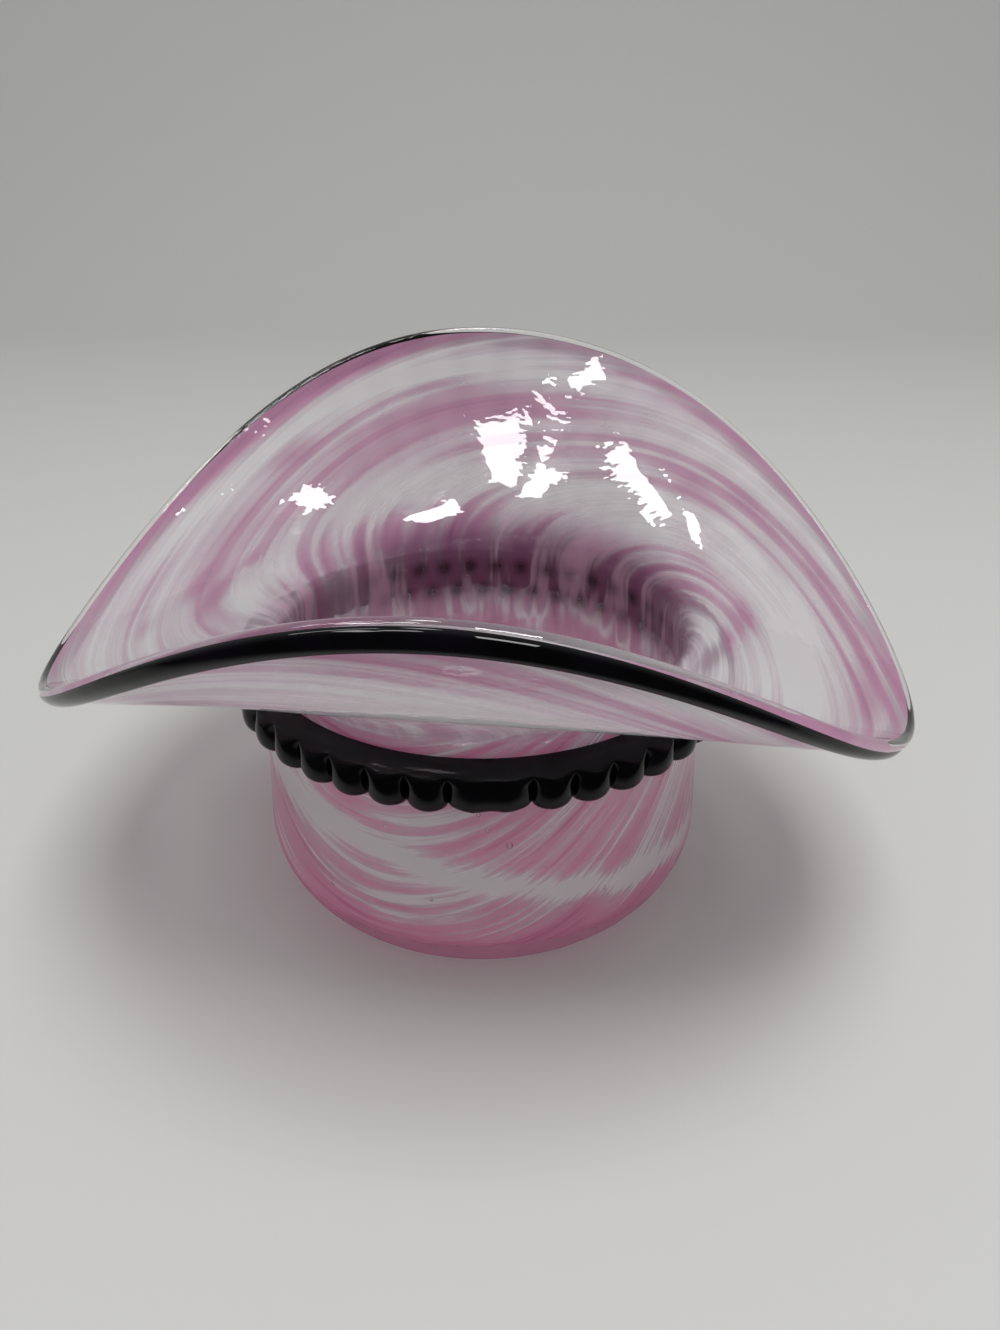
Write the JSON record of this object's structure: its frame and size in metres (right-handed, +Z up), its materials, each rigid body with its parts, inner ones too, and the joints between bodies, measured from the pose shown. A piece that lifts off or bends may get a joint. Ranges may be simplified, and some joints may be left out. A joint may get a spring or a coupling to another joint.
{
  "type": "glass hat",
  "caption": "Hand-blown glass hat that stands on its crown, with a saddle-shaped brim, a crimped dark band round the neck and a dark trail round the lip; a bowl or vase.",
  "frame": {"origin": "centre of the flat base, on the crown's axis, at the level that the hat stands on", "axes": "+Z up out of the crown's mouth, +X to the right along the brim's long way from tip to tip, -Y to the turned-up front that the picture shows"},
  "size_m": [0.1792, 0.1573, 0.1071],
  "materials": {
    "clear_casing": "fire-polished clear glass with a faint pink cast",
    "coloured_glass": "amethyst-pink and white glass in drawn-out streaks",
    "clear_bubble": "fire-polished clear glass with a faint pink cast",
    "black_glass": "glossy opaque black glass"
  },
  "bodies": {
    "root": {"outer_casing": "clear_casing", "colour_layer": "coloured_glass", "inner_bubble": "clear_bubble", "neck_band": "black_glass", "lip_trail": "black_glass"}
  },
  "joints": []
}
